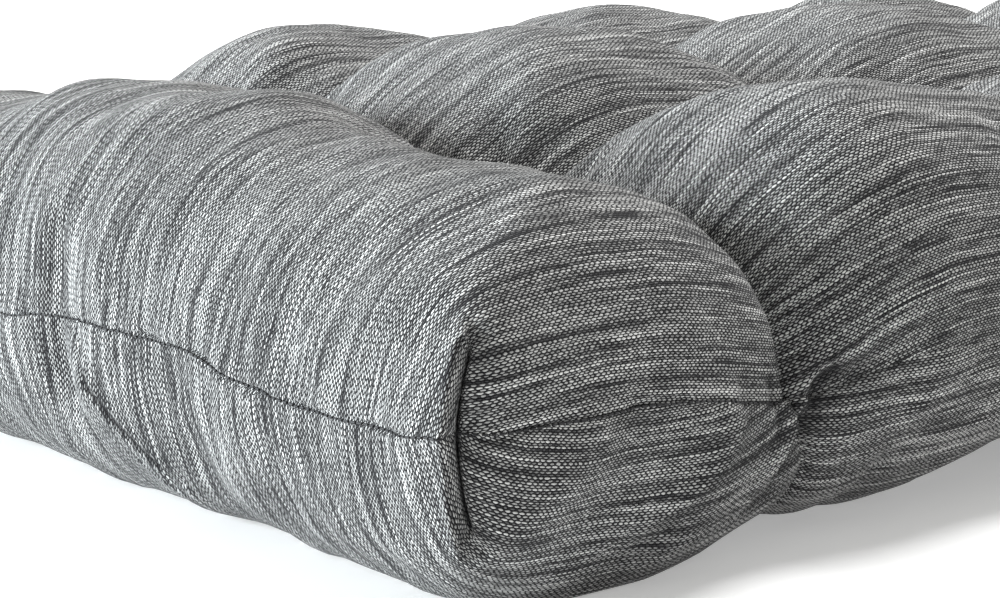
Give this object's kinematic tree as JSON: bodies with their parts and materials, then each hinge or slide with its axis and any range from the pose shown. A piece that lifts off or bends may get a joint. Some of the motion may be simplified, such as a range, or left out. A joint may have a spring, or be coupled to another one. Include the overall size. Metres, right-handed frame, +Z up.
{
  "type": "bench cushion",
  "caption": "Tufted, overstuffed bench cushion with rounded lobes between deep tufts, drawn-in sides and boxed corners.",
  "frame": {"origin": "centre of the resting face, on the surface that the cushion lies on", "axes": "+X along the length, +Y across the depth, +Z up through the thickness"},
  "size_m": [1.151, 0.4635, 0.15],
  "materials": {
    "cover": "matte slub weave of light and charcoal yarns"
  },
  "bodies": {
    "root": {"cushion": "cover"}
  },
  "joints": []
}
